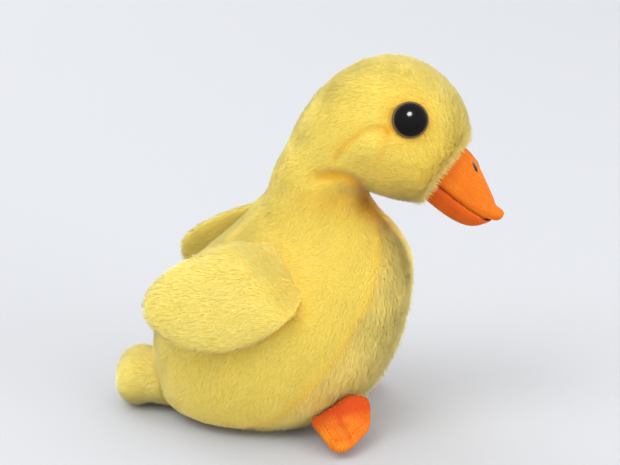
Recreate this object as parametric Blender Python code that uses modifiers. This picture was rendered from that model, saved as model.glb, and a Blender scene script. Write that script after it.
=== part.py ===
# A plush duckling that sits on its belly, built as sewn covers over separate fillings.
# Metres, +Z up, +X towards the bill, +Y towards the duckling's left side.
# The origin is on the floor below the middle of the whole toy.
import math

import bmesh
import bpy
from mathutils import Matrix, Vector
from mathutils.geometry import intersect_ray_tri

# Cloth and sewing
plush_thickness = 0.0024
fleece_thickness = 0.0012
seam_gap = 0.0006
clearance = 0.0004
filling_ease = 0.0008
round_sides = 12
limb_sides = 8
smooth_levels = 1
cage_swell_share = 1.035
settle_share = 0.25
end_draw_share = 0.86
cut_overrun = 0.02
weld_distance = 0.00002
sharp_angle = 40

# Body, with the neck base at its top
body_height = 0.100
body_rear = 0.0715
body_front = 0.0462
body_half_width = 0.0475
rest_cut = 0.0005
# height, rear reach, front reach, half width
body_ring_shares = (
    (0.00, 0.78, 0.22, 0.68),
    (0.06, 0.94, 0.44, 0.82),
    (0.16, 0.98, 0.66, 0.93),
    (0.32, 1.00, 0.86, 1.00),
    (0.50, 0.96, 0.96, 0.98),
    (0.66, 0.80, 1.00, 0.86),
    (0.78, 0.60, 0.97, 0.70),
)
# Neck base, from the neck ball's centre and against its radius: height, rear reach, front reach, half width
neck_base_ring_shares = (
    (-0.48, 1.418, 1.318, 1.045),
    (-0.12, 1.075, 0.986, 0.874),
    (0.32, 0.932, 0.838, 0.798),
)
# Chest panel seam: throat, tail end and a point on the flank
seam_throat_shares = (0.58, 0.0, 0.99)
seam_tail_shares = (0.92, 0.0, 0.12)
seam_flank_shares = (0.67, 0.84, 0.46)

# Neck, a ball that turns between the body and the head
neck_ball_radius = 0.0250
neck_centre_x = 0.004
# height, half length and half width against the ball radius
neck_ring_shares = (
    (-0.91, 0.40, 0.40),
    (-0.64, 0.79, 0.79),
    (-0.28, 0.975, 0.975),
    (0.10, 0.90, 0.88),
    (0.46, 0.83, 0.905),
    (0.75, 0.62, 0.69),
    (0.92, 0.34, 0.39),
)
neck_cover_low_share = -0.66
neck_cover_high_share = 0.72

# Head, leaning forward from the neck to the face
head_reach = 0.034
head_rise = 0.033
head_half_length = 0.036
head_half_height = 0.033
head_half_width = 0.0305
# forward place, height, half depth, half width, and the lean in degrees
head_ring_shares = (
    (-0.94, -1.05, 0.68, 0.66, 0),
    (-0.93, -0.79, 0.65, 0.67, 12),
    (-0.76, -0.54, 0.70, 0.77, 28),
    (-0.51, -0.30, 0.93, 0.93, 52),
    (-0.14, -0.06, 1.03, 1.01, 70),
    (0.19, -0.05, 1.01, 1.00, 86),
    (0.49, -0.18, 0.82, 0.86, 97),
    (0.70, -0.23, 0.50, 0.55, 104),
    (0.83, -0.24, 0.18, 0.22, 104),
)

# Bill, pointing forward and down from the face
bill_length = 0.0318
bill_base_half_height = 0.0178
bill_half_width = 0.0135
bill_root_forward = 0.0205
bill_root_drop = 0.0185
bill_pitch = 36
# place along the length, sideways shift up, half height, half width, lean in degrees
bill_ring_shares = (
    (-0.25, -0.03, 0.88, 0.90, 30),
    (0.03, -0.07, 0.94, 1.00, 31),
    (0.34, -0.21, 0.79, 0.93, 32),
    (0.60, -0.31, 0.62, 0.78, 32),
    (0.80, -0.33, 0.40, 0.56, 33),
    (0.90, -0.15, 0.17, 0.29, 36),
    (1.00, -0.13, 0.13, 0.20, 36),
)
mouth_drop_share = -0.30
mouth_tilt = 1
nostril_half_length = 0.0027
nostril_half_width = 0.0009
nostril_half_thickness = 0.0003
nostril_along_share = 0.27
nostril_side_share = 0.30
nostril_aim_reach = 0.04

# Eyes, with a shank through the cloth and a washer behind it
eye_radius = 0.0077
eye_dome_height = 0.0048
eye_sink = 0.0013
eye_forward = 0.0015
eye_rise = -0.0006
eye_turn = 76
eye_lift = 18
eye_aim_reach = 0.061
shank_radius = 0.0019
shank_length = 0.0095
shank_fit = 0.0002
washer_radius = 0.0062
washer_thickness = 0.0014
washer_depth = 0.0050
eye_sides = 16
dome_steps = 5

# Wings, sewn along the shoulder
wing_length = 0.0635
wing_half_height = 0.0295
wing_outer_depth = 0.0102
wing_inner_depth = 0.0040
right_wing_root_x = -0.0045
left_wing_root_x = -0.0088
right_wing_root_height_share = 0.730
left_wing_root_height_share = 0.705
wing_root_side_share = 0.863
wing_hinge_share = 0.12
wing_lean = 27
wing_droop = 5
wing_splay = -3
# along the length, middle, half height, depth
wing_ring_shares = (
    (-0.190, 0.02, 0.36, 0.26),
    (-0.06, 0.04, 0.76, 0.66),
    (0.18, -0.14, 0.95, 0.98),
    (0.48, -0.30, 0.90, 1.05),
    (0.78, -0.37, 0.60, 0.90),
    (0.95, -0.38, 0.24, 0.44),
)

# Tail, a short lobe with a round root
tail_root_back_share = 0.874
tail_root_height = 0.0140
tail_ball_radius = 0.0132
tail_length = 0.0244
tail_half_width = 0.0175
# back from the root's middle, rise, half height, half width
tail_ring_shares = (
    (-0.50, 0.00, 0.34, 0.36),
    (-0.30, 0.00, 0.80, 0.80),
    (0.00, 0.00, 1.05, 1.05),
    (0.28, -0.05, 0.77, 0.83),
    (0.54, -0.08, 1.01, 1.00),
    (0.80, -0.07, 0.90, 0.84),
    (0.95, -0.13, 0.40, 0.40),
)

# Feet, flat fleece pads sewn under the front of the belly
foot_length = 0.024
foot_half_width = 0.0152
foot_half_thickness = 0.0036
foot_root_x = 0.0150
foot_root_side_share = 0.6316
foot_clearance = 0.0008
foot_root_height = 0.0105
foot_pitch = 14
# how far each foot turns out from straight ahead, as the soft feet lie
foot_turn_right = 57
foot_turn_left = 90
# along the length, shift to the front, half width, half thickness
foot_ring_shares = (
    (-0.10, 0.10, 0.72, 0.74),
    (0.00, 0.16, 0.98, 1.00),
    (0.25, 0.16, 0.93, 1.05),
    (0.47, 0.11, 0.85, 1.05),
    (0.73, -0.15, 0.54, 1.00),
    (0.98, -0.37, 0.25, 0.80),
)

# Pellet bag, low in the body so that the toy sits
bag_half_length = 0.025
bag_half_width = 0.0215
bag_height = 0.016
bag_back = 0.022
# height, half length and half width
bag_ring_shares = (
    (-0.08, 0.74, 0.72),
    (0.20, 0.98, 0.98),
    (0.55, 0.92, 0.92),
    (0.90, 0.56, 0.54),
)

# Colours
lemon = (0.93, 0.78, 0.24)
lemon_pale = (0.95, 0.82, 0.36)
orange = (0.95, 0.37, 0.06)
deep_orange = (0.85, 0.28, 0.05)
fibre_white = (0.92, 0.91, 0.88)
bag_grey = (0.75, 0.74, 0.70)
black = (0.012, 0.011, 0.010)
washer_white = (0.85, 0.85, 0.83)


# Scene set up
for thing in list(bpy.data.objects):
    bpy.data.objects.remove(thing, do_unlink=True)
duck_parts = bpy.data.collections.new("plush_duck")
cutters = bpy.data.collections.new("cutters")
bpy.context.scene.collection.children.link(duck_parts)
bpy.context.scene.collection.children.link(cutters)


def make_material(name, colour, roughness, metallic=0.0):
    material = bpy.data.materials.new(name)
    material.use_nodes = True
    shader = material.node_tree.nodes["Principled BSDF"]
    shader.inputs["Base Color"].default_value = (*colour, 1.0)
    shader.inputs["Roughness"].default_value = roughness
    shader.inputs["Metallic"].default_value = metallic
    return material


def section(centre, across, rise, half_across, half_rise, sides, half_fall=None):
    # One closed ring of a form; half_fall lets its two faces differ in depth
    points = []
    for step in range(sides):
        angle = math.tau * step / sides
        reach = half_rise if math.sin(angle) >= 0 or half_fall is None else half_fall
        offset = across * (half_across * math.cos(angle)) + rise * (reach * math.sin(angle))
        points.append(centre + offset * cage_swell_share)
    return points


def loft(rings):
    # Rings joined into a closed cage, with a face over each end
    cage = bmesh.new()
    loops = [[cage.verts.new(point) for point in ring] for ring in rings]
    for lower, upper in zip(loops, loops[1:]):
        for step in range(len(lower)):
            after = (step + 1) % len(lower)
            cage.faces.new((lower[step], lower[after], upper[after], upper[step]))
    cage.faces.new(loops[0][::-1])
    cage.faces.new(loops[-1])
    bmesh.ops.recalc_face_normals(cage, faces=cage.faces)
    return cage


def smooth(cage):
    # The cage's subdivided surface as a plain mesh
    mesh = bpy.data.meshes.new("smooth")
    cage.to_mesh(mesh)
    cage.free()
    guide = bpy.data.objects.new("guide", mesh)
    bpy.context.scene.collection.objects.link(guide)
    softening = guide.modifiers.new("soften", "SUBSURF")
    softening.levels = smooth_levels
    softening.render_levels = smooth_levels
    graph = bpy.context.evaluated_depsgraph_get()
    result = bpy.data.meshes.new_from_object(guide.evaluated_get(graph))
    bpy.data.objects.remove(guide, do_unlink=True)
    return result


def form_of(rings, grow=0.0, floor=None):
    # A closed soft form, grown or shrunk along its normals, cut flat at the floor if one is given
    form = bmesh.new()
    form.from_mesh(smooth(loft(rings)))
    return finish_form(form, grow, floor)


def filling_of(rings, inset, floor=None):
    # The same form as packed fibre: its cage settled to where the cover's surface lies, then shrunk
    last = len(rings) - 1
    settled = []
    for place, ring in enumerate(rings):
        before = rings[max(place - 1, 0)]
        after = rings[min(place + 1, last)]
        points = []
        for earlier, own, later in zip(before, ring, after):
            points.append(own.lerp((earlier + later) / 2, settle_share))
        middle = sum(points, Vector()) / len(points)
        draw = (end_draw_share if place in (0, last) else 1.0) / cage_swell_share
        settled.append([middle + (point - middle) * draw for point in points])
    return finish_form(loft(settled), -inset - filling_ease, floor)


def finish_form(form, grow, floor):
    form.normal_update()
    drift = form.verts.layers.float_vector.new("drift")
    for vertex in form.verts:
        vertex[drift] = vertex.normal
    for vertex in form.verts:
        vertex.co += vertex[drift] * grow
    if floor is not None:
        slice_form(form, Vector((0, 0, floor)), Vector((0, 0, -1)), fill=True)
        for vertex in form.verts:
            if abs(vertex.co.z - floor) < weld_distance:
                vertex[drift] = (vertex[drift] * Vector((1, 1, 0)) - up).normalized()
    return form


def slice_form(form, point, away, fill=False):
    # Takes off what lies past the plane on the side that away points to
    geometry = form.verts[:] + form.edges[:] + form.faces[:]
    cut = bmesh.ops.bisect_plane(form, geom=geometry, plane_co=point, plane_no=away, clear_outer=True)
    if fill:
        rim = [item for item in cut["geom_cut"] if isinstance(item, bmesh.types.BMEdge)]
        bmesh.ops.edgenet_fill(form, edges=rim)
        bmesh.ops.recalc_face_normals(form, faces=form.faces)


def sew_cover(form, thickness):
    # Cloth thickness goes inward along the whole form's own normals, so that panels meet edge to edge
    drift = form.verts.layers.float_vector["drift"]
    rims = [edge for edge in form.edges if edge.is_boundary]
    made = bmesh.ops.duplicate(form, geom=form.verts[:] + form.edges[:] + form.faces[:])
    lining = made["vert_map"]
    inner_verts = [item for item in made["geom"] if isinstance(item, bmesh.types.BMVert)]
    inner_faces = [item for item in made["geom"] if isinstance(item, bmesh.types.BMFace)]
    for vertex in inner_verts:
        vertex.co -= vertex[drift] * thickness
    bmesh.ops.reverse_faces(form, faces=inner_faces)
    for edge in rims:
        near, far = edge.verts
        form.faces.new((near, far, lining[far], lining[near]))
    bmesh.ops.recalc_face_normals(form, faces=form.faces)
    return form


def add_part(name, form, material, smooth_shading=True):
    mesh = bpy.data.meshes.new(name)
    form.to_mesh(mesh)
    form.free()
    if smooth_shading:
        mesh.shade_smooth()
    part = bpy.data.objects.new(name, mesh)
    part.data.materials.append(material)
    duck_parts.objects.link(part)
    return part


def add_cutter(name, form):
    mesh = bpy.data.meshes.new(name)
    form.to_mesh(mesh)
    form.free()
    cutter = bpy.data.objects.new(name, mesh)
    cutter.hide_render = True
    cutter.display_type = "WIRE"
    cutters.objects.link(cutter)
    return cutter


def cut_by(part, *tools):
    for tool in tools:
        cut = part.modifiers.new("cut_" + tool.name, "BOOLEAN")
        cut.operation = "DIFFERENCE"
        cut.solver = "EXACT"
        cut.object = tool


def add_pivot(name, place, along):
    # An empty on a joint, with its own Z along the joint's axis
    pivot = bpy.data.objects.new(name, None)
    turn = Vector((0, 0, 1)).rotation_difference(along)
    pivot.matrix_world = Matrix.Translation(place) @ turn.to_matrix().to_4x4()
    duck_parts.objects.link(pivot)
    return pivot


def hang_on(pivot, parts):
    bpy.context.view_layer.update()
    for part in parts:
        part.parent = pivot
        part.matrix_parent_inverse = pivot.matrix_world.inverted()


def ball(centre, radii):
    form = bmesh.new()
    bmesh.ops.create_uvsphere(form, u_segments=2 * round_sides, v_segments=round_sides, radius=1.0)
    bmesh.ops.scale(form, vec=radii, verts=form.verts)
    bmesh.ops.translate(form, vec=centre, verts=form.verts)
    return form


def disc(radius, depth, middle, frame, sides):
    # A cylinder along the frame's Z, its middle at a height in that frame
    form = bmesh.new()
    bmesh.ops.create_cone(
        form, cap_ends=True, segments=sides, radius1=radius, radius2=radius, depth=depth
    )
    bmesh.ops.translate(form, vec=(0, 0, middle), verts=form.verts)
    bmesh.ops.transform(form, matrix=frame, verts=form.verts)
    return form


forward = Vector((1, 0, 0))
left = Vector((0, 1, 0))
up = Vector((0, 0, 1))
plush = make_material("lemon_plush", lemon, 0.95)
plush_pale = make_material("lemon_plush_pale", lemon_pale, 0.95)
filling = make_material("polyester_fibre", fibre_white, 0.9)

# Neck ball centre, which the body, the neck and the head share
neck_centre = Vector((neck_centre_x, 0, body_height))
socket_radius = neck_ball_radius + clearance
neck_socket = add_cutter("neck_socket", ball(neck_centre, (socket_radius,) * 3))

# Tail root centre, shared by the tail and its socket in the body
tail_centre = Vector((-body_rear * tail_root_back_share, 0, tail_root_height))
tail_socket_radii = (
    tail_ball_radius + clearance,
    tail_half_width + clearance,
    tail_ball_radius + clearance,
)
tail_socket = add_cutter("tail_socket", ball(tail_centre, tail_socket_radii))


def body_rings():
    # The body's own rings, then those of the neck base, which go with the neck ball
    rings = []
    for height_share, rear_share, front_share, width_share in body_ring_shares:
        rear = body_rear * rear_share
        front = body_front * front_share
        centre = Vector(((front - rear) / 2, 0, body_height * height_share - rest_cut))
        half_length = (front + rear) / 2
        rings.append(
            section(centre, forward, left, half_length, body_half_width * width_share, round_sides)
        )
    for height_share, rear_share, front_share, width_share in neck_base_ring_shares:
        middle = neck_ball_radius * (front_share - rear_share) / 2
        centre = neck_centre + up * (neck_ball_radius * height_share) + forward * middle
        half_length = neck_ball_radius * (front_share + rear_share) / 2
        half_width = neck_ball_radius * width_share
        rings.append(section(centre, forward, left, half_length, half_width, round_sides))
    return rings


def body_point(shares, side=1):
    reach = body_front if shares is not seam_tail_shares else -body_rear
    return Vector((reach * shares[0], side * body_half_width * shares[1], body_height * shares[2]))


def seam_normal(side):
    # Normal of the chest panel's seam plane, pointing to the flank on that side
    throat = body_point(seam_throat_shares)
    along = body_point(seam_tail_shares) - throat
    down = body_point(seam_flank_shares, side) - throat
    normal = along.cross(down).normalized()
    return normal if normal.y * side > 0 else -normal


def build_body():
    throat = body_point(seam_throat_shares)
    half_gap = seam_gap / 2
    for name, side in (("body_side_right", -1), ("body_side_left", 1)):
        form = form_of(body_rings(), floor=0.0)
        normal = seam_normal(side)
        slice_form(form, throat + normal * half_gap, -normal)
        slice_form(form, Vector((0, side * half_gap, 0)), Vector((0, -side, 0)))
        part = add_part(name, sew_cover(form, plush_thickness), plush)
        cut_by(part, neck_socket, tail_socket)
    form = form_of(body_rings(), floor=0.0)
    for side in (-1, 1):
        normal = seam_normal(side)
        slice_form(form, throat - normal * half_gap, normal)
    gusset = add_part("chest_belly_panel", sew_cover(form, plush_thickness), plush_pale)
    cut_by(gusset, neck_socket, tail_socket)

    inset = plush_thickness + clearance
    bag_floor = inset
    bag_cutter = add_cutter("bag_pocket", form_of(bag_rings(bag_floor), grow=clearance))
    core = add_part("body_filling", filling_of(body_rings(), inset, floor=bag_floor), filling)
    cut_by(core, neck_socket, tail_socket, bag_cutter)
    bag_cloth = make_material("pellet_bag_cloth", bag_grey, 0.9)
    add_part("pellet_bag", form_of(bag_rings(bag_floor), floor=bag_floor), bag_cloth)


def bag_rings(bag_floor):
    rings = []
    for height_share, length_share, width_share in bag_ring_shares:
        centre = Vector((-bag_back, 0, bag_floor + bag_height * height_share))
        half_length = bag_half_length * length_share
        rings.append(
            section(centre, forward, left, half_length, bag_half_width * width_share, limb_sides)
        )
    return rings


def neck_rings():
    rings = []
    for height_share, length_share, width_share in neck_ring_shares:
        centre = neck_centre + up * (neck_ball_radius * height_share)
        half_length = neck_ball_radius * length_share
        half_width = neck_ball_radius * width_share
        rings.append(section(centre, forward, left, half_length, half_width, round_sides))
    return rings


def build_neck():
    form = form_of(neck_rings())
    slice_form(form, neck_centre + up * (neck_ball_radius * neck_cover_low_share), -up)
    slice_form(form, neck_centre + up * (neck_ball_radius * neck_cover_high_share), up)
    cover = add_part("neck_cover", sew_cover(form, plush_thickness), plush)
    core = add_part("neck_filling", filling_of(neck_rings(), plush_thickness + clearance), filling)
    return cover, core


head_centre = neck_centre + forward * head_reach + up * head_rise


def head_rings():
    rings = []
    for forward_share, height_share, depth_share, width_share, lean_angle in head_ring_shares:
        centre = head_centre + forward * (head_half_length * forward_share)
        centre = centre + up * (head_half_height * height_share)
        lean = math.radians(lean_angle)
        across = Vector((math.cos(lean), 0, -math.sin(lean)))
        half_depth = head_half_height * depth_share
        rings.append(
            section(centre, across, left, half_depth, head_half_width * width_share, round_sides)
        )
    return rings


def eye_frame(side):
    # The eye's place on the head's surface, its own Z pointing out of the head
    turn = math.radians(eye_turn)
    lift = math.radians(eye_lift)
    level = Vector((math.cos(turn), side * math.sin(turn), 0))
    outward = level * math.cos(lift) + up * math.sin(lift)
    aim = head_centre + forward * eye_forward + up * eye_rise
    start = aim + outward * eye_aim_reach
    surface = bmesh.new()
    surface.from_mesh(smooth(loft(head_rings())))
    bmesh.ops.triangulate(surface, faces=surface.faces)
    best = None
    for face in surface.faces:
        hit = ray_meets(start, -outward, [vertex.co for vertex in face.verts])
        if hit is not None and (best is None or (hit - start).length < (best - start).length):
            best = hit
    surface.free()
    turned = up.rotation_difference(outward).to_matrix().to_4x4()
    return Matrix.Translation(best) @ turned


def ray_meets(start, direction, corners):
    # Where a ray meets a triangle, or None
    return intersect_ray_tri(*corners, direction, start, True)


def turned_solid(outline, frame):
    # A closed outline of radius and height, turned about the frame's Z
    form = bmesh.new()
    points = [form.verts.new((radius, 0, height)) for radius, height in outline]
    edges = [form.edges.new((a, b)) for a, b in zip(points, points[1:])]
    bmesh.ops.spin(
        form,
        geom=points + edges,
        axis=(0, 0, 1),
        cent=(0, 0, 0),
        angle=math.tau,
        steps=eye_sides,
        use_merge=True,
    )
    bmesh.ops.remove_doubles(form, verts=form.verts, dist=weld_distance)
    bmesh.ops.recalc_face_normals(form, faces=form.faces)
    bmesh.ops.transform(form, matrix=frame, verts=form.verts)
    return form


def eye_outline():
    # From the dome's top, round its flat back and down the shank
    outline = []
    for step in range(dome_steps + 1):
        angle = math.pi / 2 * (1 - step / dome_steps)
        outline.append((eye_radius * math.cos(angle), eye_dome_height * math.sin(angle) - eye_sink))
    outline[0] = (0.0, outline[0][1])
    outline.append((shank_radius, -eye_sink))
    outline.append((shank_radius, -eye_sink - shank_length))
    outline.append((0.0, -eye_sink - shank_length))
    return outline


def washer_outline():
    inner = shank_radius + shank_fit
    low = -washer_depth - washer_thickness
    return [
        (inner, -washer_depth),
        (washer_radius, -washer_depth),
        (washer_radius, low),
        (inner, low),
        (inner, -washer_depth),
    ]


def build_eyes():
    glossy = make_material("eye_plastic", black, 0.08)
    washer_plastic = make_material("washer_plastic", washer_white, 0.5)
    parts, cloth_cuts, filling_cuts = [], [], []
    for tag, side in (("right", -1), ("left", 1)):
        frame = eye_frame(side)
        eye = add_part("eye_" + tag, turned_solid(eye_outline(), frame), glossy)
        washer = add_part("eye_washer_" + tag, turned_solid(washer_outline(), frame), washer_plastic)
        eye.data.set_sharp_from_angle(angle=math.radians(sharp_angle))
        washer.data.set_sharp_from_angle(angle=math.radians(sharp_angle))
        parts += [eye, washer]
        seat_depth = eye_sink + clearance
        seat = disc(
            eye_radius + clearance,
            seat_depth + cut_overrun,
            (cut_overrun - seat_depth) / 2,
            frame,
            eye_sides,
        )
        hole = disc(shank_radius + clearance, cut_overrun, -cut_overrun / 2, frame, eye_sides)
        pocket_depth = max(washer_depth + washer_thickness, eye_sink + shank_length) + clearance
        pocket = disc(washer_radius + clearance, pocket_depth, -pocket_depth / 2, frame, eye_sides)
        cloth_cuts.append((add_cutter("eye_seat_" + tag, seat), add_cutter("shank_hole_" + tag, hole)))
        filling_cuts.append(add_cutter("washer_pocket_" + tag, pocket))
    return parts, cloth_cuts, filling_cuts


def build_head():
    parts, cloth_cuts, filling_cuts = build_eyes()
    sides = (("head_side_right", -1, cloth_cuts[0]), ("head_side_left", 1, cloth_cuts[1]))
    for name, side, eye_cuts in sides:
        form = form_of(head_rings())
        slice_form(form, Vector((0, side * seam_gap / 2, 0)), Vector((0, -side, 0)))
        cover = add_part(name, sew_cover(form, plush_thickness), plush)
        cut_by(cover, neck_socket, *eye_cuts)
        parts.append(cover)
    core = add_part("head_filling", filling_of(head_rings(), plush_thickness + clearance), filling)
    cut_by(core, neck_socket, *filling_cuts)
    parts.append(core)
    return parts


def bill_frame():
    # Origin at the bill's base on the face, along the bill, and up across it
    pitch = math.radians(bill_pitch)
    along = Vector((math.cos(pitch), 0, -math.sin(pitch)))
    across = Vector((math.sin(pitch), 0, math.cos(pitch)))
    origin = head_centre + forward * bill_root_forward - up * bill_root_drop
    return origin, along, across


def bill_rings():
    origin, along, across = bill_frame()
    rings = []
    for along_share, shift_share, height_share, width_share, lean_angle in bill_ring_shares:
        centre = origin + along * (bill_length * along_share)
        centre = centre + across * (bill_base_half_height * shift_share)
        lean = math.radians(lean_angle)
        rise = Vector((math.sin(lean), 0, math.cos(lean)))
        half_height = bill_base_half_height * height_share
        rings.append(section(centre, left, rise, bill_half_width * width_share, half_height, limb_sides))
    return rings


def build_bill():
    fleece = make_material("bill_fleece", orange, 0.9)
    lower_fleece = make_material("bill_fleece_lower", deep_orange, 0.9)
    thread = make_material("nostril_thread", black, 0.7)
    origin, along, across = bill_frame()
    mouth_point = origin + across * (bill_base_half_height * mouth_drop_share)
    tilt = Matrix.Rotation(math.radians(mouth_tilt), 3, "Y")
    mouth_up = tilt @ across
    face = add_cutter("face_clearance", form_of(head_rings(), grow=clearance))
    parts = []
    for name, side, cloth in (("upper_bill", 1, fleece), ("lower_bill", -1, lower_fleece)):
        form = form_of(bill_rings())
        slice_form(form, mouth_point + mouth_up * (side * seam_gap / 2), mouth_up * -side)
        cover = add_part(name, sew_cover(form, fleece_thickness), cloth)
        cut_by(cover, face)
        parts.append(cover)
    core = add_part("bill_filling", form_of(bill_rings(), grow=-fleece_thickness - clearance), filling)
    cut_by(core, face)
    parts.append(core)

    surface = bmesh.new()
    surface.from_mesh(smooth(loft(bill_rings())))
    bmesh.ops.triangulate(surface, faces=surface.faces)
    for tag, side in (("right", -1), ("left", 1)):
        start = origin + along * (bill_length * nostril_along_share) + across * nostril_aim_reach
        start = start + left * (side * bill_half_width * nostril_side_share)
        hits = []
        for patch in surface.faces:
            hit = ray_meets(start, -across, [vertex.co for vertex in patch.verts])
            if hit is not None:
                hits.append(((hit - start).length, hit, patch.normal.copy()))
        place, outward = min(hits, key=lambda item: item[0])[1:]
        lift = clearance + nostril_half_thickness
        turned = up.rotation_difference(outward).to_matrix().to_4x4()
        stitch = bmesh.new()
        bmesh.ops.create_uvsphere(stitch, u_segments=limb_sides, v_segments=limb_sides // 2, radius=1.0)
        radii = (nostril_half_length, nostril_half_width, nostril_half_thickness)
        bmesh.ops.scale(stitch, vec=radii, verts=stitch.verts)
        bmesh.ops.translate(stitch, vec=(0, 0, lift), verts=stitch.verts)
        bmesh.ops.transform(stitch, matrix=Matrix.Translation(place) @ turned, verts=stitch.verts)
        parts.append(add_part("nostril_" + tag, stitch, thread))
    surface.free()
    return parts


def wing_frame(side):
    # Root on the shoulder, along the wing to its tip, up the wing, and out of it
    lean = math.radians(wing_lean)
    droop = math.radians(wing_droop)
    splay = math.radians(wing_splay)
    rise = Vector((0, -side * math.sin(lean), math.cos(lean)))
    along = Vector((-math.cos(droop), side * math.sin(splay), -math.sin(droop)))
    along = (along - rise * along.dot(rise)).normalized()
    outward = along.cross(rise)
    if outward.y * side < 0:
        outward = -outward
    root_side = body_half_width * wing_root_side_share
    root_x = left_wing_root_x if side > 0 else right_wing_root_x
    height_share = left_wing_root_height_share if side > 0 else right_wing_root_height_share
    root = Vector((root_x, side * root_side, body_height * height_share))
    return root, along, rise, outward


def wing_rings(side):
    root, along, rise, outward = wing_frame(side)
    rings = []
    for along_share, middle_share, height_share, depth_share in wing_ring_shares:
        centre = root + along * (wing_length * along_share)
        centre = centre + rise * (wing_half_height * middle_share)
        half_height = wing_half_height * height_share
        outer = wing_outer_depth * depth_share
        inner = wing_inner_depth * depth_share
        rings.append(section(centre, rise, outward, half_height, outer, limb_sides, inner))
    return rings


def build_wing(tag, side):
    root, along, rise, outward = wing_frame(side)
    flank = add_cutter("flank_clearance_" + tag, form_of(body_rings(), grow=clearance))
    parts = []
    for name, face_side, cloth in (("outer", 1, plush), ("inner", -1, plush_pale)):
        form = form_of(wing_rings(side))
        slice_form(form, root + outward * (face_side * seam_gap / 2), outward * -face_side)
        cover = add_part("wing_{}_{}".format(tag, name), sew_cover(form, fleece_thickness), cloth)
        cut_by(cover, flank)
        parts.append(cover)
    inset = fleece_thickness + clearance
    core = add_part("wing_{}_filling".format(tag), form_of(wing_rings(side), grow=-inset), filling)
    cut_by(core, flank)
    parts.append(core)
    hinge = root - along * (wing_length * wing_hinge_share)
    hang_on(add_pivot("wing_{}_hinge".format(tag), hinge, rise), parts)


def tail_rings():
    rings = []
    for back_share, rise_share, height_share, width_share in tail_ring_shares:
        centre = tail_centre - forward * (tail_length * back_share)
        centre = centre + up * (tail_ball_radius * rise_share)
        half_height = tail_ball_radius * height_share
        rings.append(section(centre, left, up, tail_half_width * width_share, half_height, limb_sides))
    return rings


def build_tail():
    parts = []
    for name, side in (("tail_top", 1), ("tail_underside", -1)):
        form = form_of(tail_rings())
        slice_form(form, tail_centre + up * (side * seam_gap / 2), up * -side)
        parts.append(add_part(name, sew_cover(form, fleece_thickness), plush))
    inset = fleece_thickness + clearance
    parts.append(add_part("tail_filling", form_of(tail_rings(), grow=-inset), filling))
    hang_on(add_pivot("tail_hinge", tail_centre, left), parts)


def foot_frame(side):
    turn = math.radians(foot_turn_left if side > 0 else foot_turn_right)
    pitch = math.radians(foot_pitch)
    flat = Vector((math.cos(turn), side * math.sin(turn), 0))
    along = flat * math.cos(pitch) - up * math.sin(pitch)
    rise = flat * math.sin(pitch) + up * math.cos(pitch)
    root_side = body_half_width * foot_root_side_share
    root = Vector((foot_root_x, side * root_side, foot_root_height))
    return root, along, rise, rise.cross(along)


def foot_rings(side):
    root, along, rise, across = foot_frame(side)
    rings = []
    for along_share, shift_share, width_share, thick_share in foot_ring_shares:
        shift = across * (-side * foot_half_width * shift_share)
        centre = root + along * (foot_length * along_share) + shift
        half_thickness = foot_half_thickness * thick_share
        rings.append(
            section(centre, across, rise, foot_half_width * width_share, half_thickness, limb_sides)
        )
    return rings


def build_foot(tag, side):
    fleece = make_material("foot_fleece_" + tag, orange, 0.9)
    root, along, rise, across = foot_frame(side)
    belly = add_cutter("belly_clearance_" + tag, form_of(body_rings(), grow=foot_clearance))
    parts = []
    for name, face_side in (("top", 1), ("sole", -1)):
        form = form_of(foot_rings(side))
        slice_form(form, root + rise * (face_side * seam_gap / 2), rise * -face_side)
        cover = add_part("foot_{}_{}".format(tag, name), sew_cover(form, fleece_thickness), fleece)
        cut_by(cover, belly)
        parts.append(cover)
    inset = fleece_thickness + clearance
    core = add_part("foot_{}_padding".format(tag), form_of(foot_rings(side), grow=-inset), filling)
    cut_by(core, belly)
    parts.append(core)
    hang_on(add_pivot("foot_{}_hinge".format(tag), root, across), parts)


build_body()
head_parts = build_head() + build_bill()
neck_parts = list(build_neck())
neck_nod_pivot = add_pivot("neck_nod_pivot", neck_centre, left)
head_turn_pivot = add_pivot("head_turn_pivot", neck_centre, up)
hang_on(head_turn_pivot, head_parts)
hang_on(neck_nod_pivot, neck_parts + [head_turn_pivot])
build_tail()
for limb_tag, limb_side in (("right", -1), ("left", 1)):
    build_wing(limb_tag, limb_side)
    build_foot(limb_tag, limb_side)
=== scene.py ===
# A plush duckling that sits on its belly: soft pile over stuffed forms, fleece bill and feet, glossy eyes.
import math

import bmesh
import bpy
import numpy as np
from mathutils import Matrix, Vector, noise
from mathutils.bvhtree import BVHTree


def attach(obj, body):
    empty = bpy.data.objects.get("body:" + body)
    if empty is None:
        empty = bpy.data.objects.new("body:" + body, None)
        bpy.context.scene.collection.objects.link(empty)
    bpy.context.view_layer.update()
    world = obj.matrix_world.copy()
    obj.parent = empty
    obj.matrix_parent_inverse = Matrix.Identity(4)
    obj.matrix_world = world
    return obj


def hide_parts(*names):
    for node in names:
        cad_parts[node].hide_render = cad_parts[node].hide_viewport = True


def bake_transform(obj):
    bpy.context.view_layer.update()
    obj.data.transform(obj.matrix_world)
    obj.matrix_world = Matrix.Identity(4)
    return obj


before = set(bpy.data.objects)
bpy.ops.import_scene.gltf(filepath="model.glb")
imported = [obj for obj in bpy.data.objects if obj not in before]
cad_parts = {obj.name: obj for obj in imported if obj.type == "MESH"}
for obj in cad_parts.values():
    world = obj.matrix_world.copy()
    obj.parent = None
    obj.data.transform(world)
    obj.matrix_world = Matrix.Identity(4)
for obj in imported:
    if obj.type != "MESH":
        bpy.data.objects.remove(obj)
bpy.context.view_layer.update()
print("frame loaded")

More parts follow.
